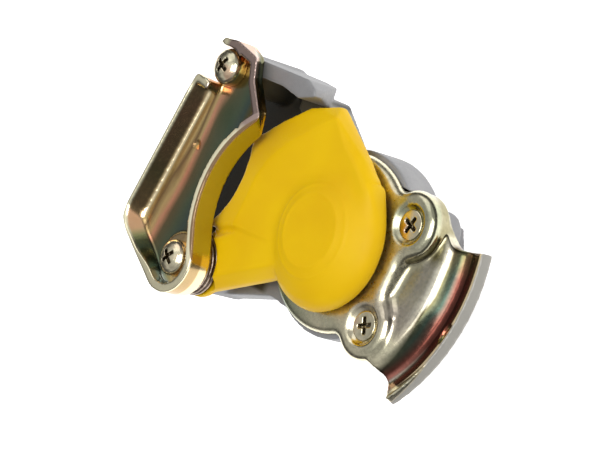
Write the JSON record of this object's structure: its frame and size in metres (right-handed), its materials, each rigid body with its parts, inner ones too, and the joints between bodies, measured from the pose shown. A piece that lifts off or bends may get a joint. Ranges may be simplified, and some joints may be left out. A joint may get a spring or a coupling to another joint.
{
  "type": "air brake coupling head",
  "caption": "Palm-type coupling head for a trailer air brake line: cast body with threaded port, rubber face seal, stamped flange and claw plates, and a sprung swing-away dust cap.",
  "frame": {"origin": "centre of the threaded port's mouth, on the seal axis", "axes": "+Z along the seal axis towards the seal's face, +X towards the flange, claw towards -X"},
  "size_m": [0.1173, 0.0718, 0.0525],
  "materials": {
    "housing_cast": "matte as-cast",
    "zinc_yellow": "yellow passivated zinc plating, iridescent",
    "screw_steel": "passivated zinc plating, glossy",
    "dark_steel": "dark oiled",
    "cap_plastic": "satin",
    "spring_steel": "drawn wire, satin",
    "seal_rubber": "matte",
    "valve_plastic": "satin"
  },
  "bodies": {
    "base": {"housing": "housing_cast", "flange_plate": "zinc_yellow", "flange_screw_upper": "screw_steel", "flange_screw_lower": "screw_steel", "claw_plate": "zinc_yellow", "claw_screw_upper": "screw_steel", "claw_screw_lower": "screw_steel", "pivot_sleeve": "dark_steel", "pivot_washer": "dark_steel", "cap_spring": "spring_steel", "seal_ring": "seal_rubber", "valve_spring": "spring_steel", "valve_guide": "valve_plastic", "guide_circlip": "dark_steel"},
    "cap": {"cap": "cap_plastic"},
    "valve": {"valve_plate": "valve_plastic"}
  },
  "joints": [
    {"name": "cap_swing", "type": "hinge", "parent": "base", "child": "cap", "pos_m": [-0.0433, -0.022, 0.0385], "axis": [0, 0, -1], "range_deg": [0, 95], "stiffness_Nm_per_rad": 0.05, "springref_deg": -85.94, "deforming": ["cap_spring"]},
    {"name": "valve_slide", "type": "slide", "parent": "base", "child": "valve", "axis": [0, 0, -1], "range_m": [0, 0.0042], "stiffness_N_per_m": 1500, "springref_m": -0.006, "deforming": ["valve_spring"]}
  ]
}
